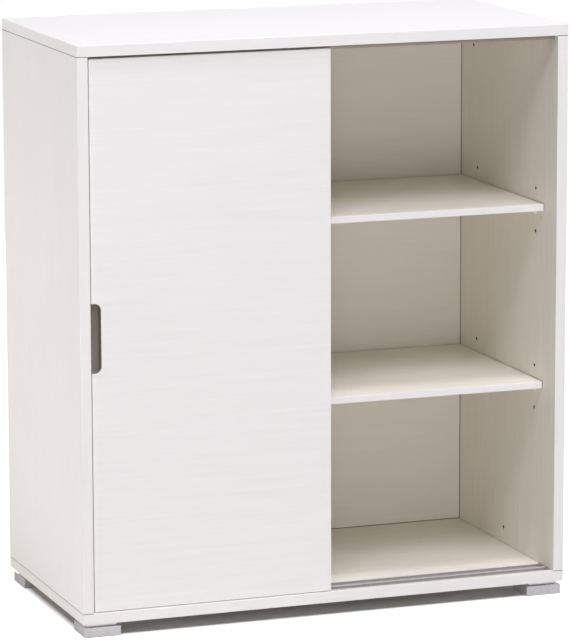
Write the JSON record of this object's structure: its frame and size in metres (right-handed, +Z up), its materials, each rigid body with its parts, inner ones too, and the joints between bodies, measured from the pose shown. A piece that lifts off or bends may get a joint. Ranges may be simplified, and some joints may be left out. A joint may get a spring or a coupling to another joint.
{
  "type": "sliding door cabinet",
  "caption": "Low white melamine cabinet with sliding doors in a grooved track, adjustable shelves, recessed grips and square silver feet.",
  "frame": {"origin": "On the floor, under the middle of the cabinet's outline.", "axes": "+X to the right seen from the front, +Y from the front to the rear, +Z up. The doors face -Y."},
  "size_m": [0.745, 0.375, 0.85],
  "materials": {
    "white_board": "particle board faced with white melamine, satin, edges banded in the same white",
    "white_hardboard": "thin hardboard, white lacquer in front, brown behind",
    "grip_plastic": "moulded dark grey plastic, fine matt grain",
    "aluminium": "extruded, natural anodised, fine lines along its length",
    "rail_plastic": "extruded grey plastic, satin, fine lines along its length",
    "rubber": "soft black rubber, matt",
    "foot_plastic": "moulded plastic, silver lacquer, fine metallic grain",
    "clear_plastic": "clear moulded plastic",
    "plywood": "raw birch plywood strip",
    "steel": "bright zinc plated steel",
    "wheel_nylon": "turned natural nylon",
    "carriage_plastic": "moulded grey plastic, fine matt grain"
  },
  "bodies": {
    "carcass": {"back_panel": "white_hardboard", "bottom_panel": "white_board", "bottom_track": "aluminium", "centre_divider": "white_board", "front_left_foot": "foot_plastic", "front_left_foot_plate": "foot_plastic", "front_right_foot": "foot_plastic", "front_right_foot_plate": "foot_plastic", "left_lower_shelf": "white_board", "left_shelf_pins": "clear_plastic", "left_side_panel": "white_board", "left_upper_shelf": "white_board", "rear_left_foot": "foot_plastic", "rear_left_foot_plate": "foot_plastic", "rear_right_foot": "foot_plastic", "rear_right_foot_plate": "foot_plastic", "right_lower_shelf": "white_board", "right_shelf_pins": "clear_plastic", "right_side_panel": "white_board", "right_upper_shelf": "white_board", "side_panel_tongues": "plywood", "top_guide_rail": "rail_plastic", "top_panel": "white_board", "track_end_stops": "rubber"},
    "left_door": {"left_door": "white_board", "left_door_grip": "grip_plastic", "left_door_guide_shoes": "carriage_plastic", "left_door_left_axle": "steel", "left_door_left_carriage": "carriage_plastic", "left_door_right_axle": "steel", "left_door_right_carriage": "carriage_plastic"},
    "right_door": {"right_door": "white_board", "right_door_grip": "grip_plastic", "right_door_guide_shoes": "carriage_plastic", "right_door_left_axle": "steel", "right_door_left_carriage": "carriage_plastic", "right_door_right_axle": "steel", "right_door_right_carriage": "carriage_plastic"},
    "left_door_left_wheel_body": {"left_door_left_wheel": "wheel_nylon"},
    "left_door_right_wheel_body": {"left_door_right_wheel": "wheel_nylon"},
    "right_door_left_wheel_body": {"right_door_left_wheel": "wheel_nylon"},
    "right_door_right_wheel_body": {"right_door_right_wheel": "wheel_nylon"}
  },
  "joints": [
    {"name": "left_door_slide", "type": "slide", "parent": "carcass", "child": "left_door", "axis": [1, 0, 0], "range_m": [0, 0.348]},
    {"name": "right_door_slide", "type": "slide", "parent": "carcass", "child": "right_door", "axis": [1, 0, 0], "range_m": [0, 0.348]},
    {"name": "left_door_left_wheel_spin", "type": "hinge", "parent": "left_door", "child": "left_door_left_wheel_body", "pos_m": [-0.309, -0.1742, 0.0423], "axis": [0, 1, 0], "continuous": true},
    {"name": "left_door_right_wheel_spin", "type": "hinge", "parent": "left_door", "child": "left_door_right_wheel_body", "pos_m": [-0.039, -0.1742, 0.0423], "axis": [0, 1, 0], "continuous": true},
    {"name": "right_door_left_wheel_spin", "type": "hinge", "parent": "right_door", "child": "right_door_left_wheel_body", "pos_m": [-0.309, -0.1522, 0.0423], "axis": [0, 1, 0], "continuous": true},
    {"name": "right_door_right_wheel_spin", "type": "hinge", "parent": "right_door", "child": "right_door_right_wheel_body", "pos_m": [-0.039, -0.1522, 0.0423], "axis": [0, 1, 0], "continuous": true}
  ],
  "couplings": [
    {"joint": "left_door_left_wheel_spin", "follows": "left_door_slide", "rad_per_m": 111.11},
    {"joint": "left_door_right_wheel_spin", "follows": "left_door_slide", "rad_per_m": 111.11},
    {"joint": "right_door_left_wheel_spin", "follows": "right_door_slide", "rad_per_m": 111.11},
    {"joint": "right_door_right_wheel_spin", "follows": "right_door_slide", "rad_per_m": 111.11}
  ]
}
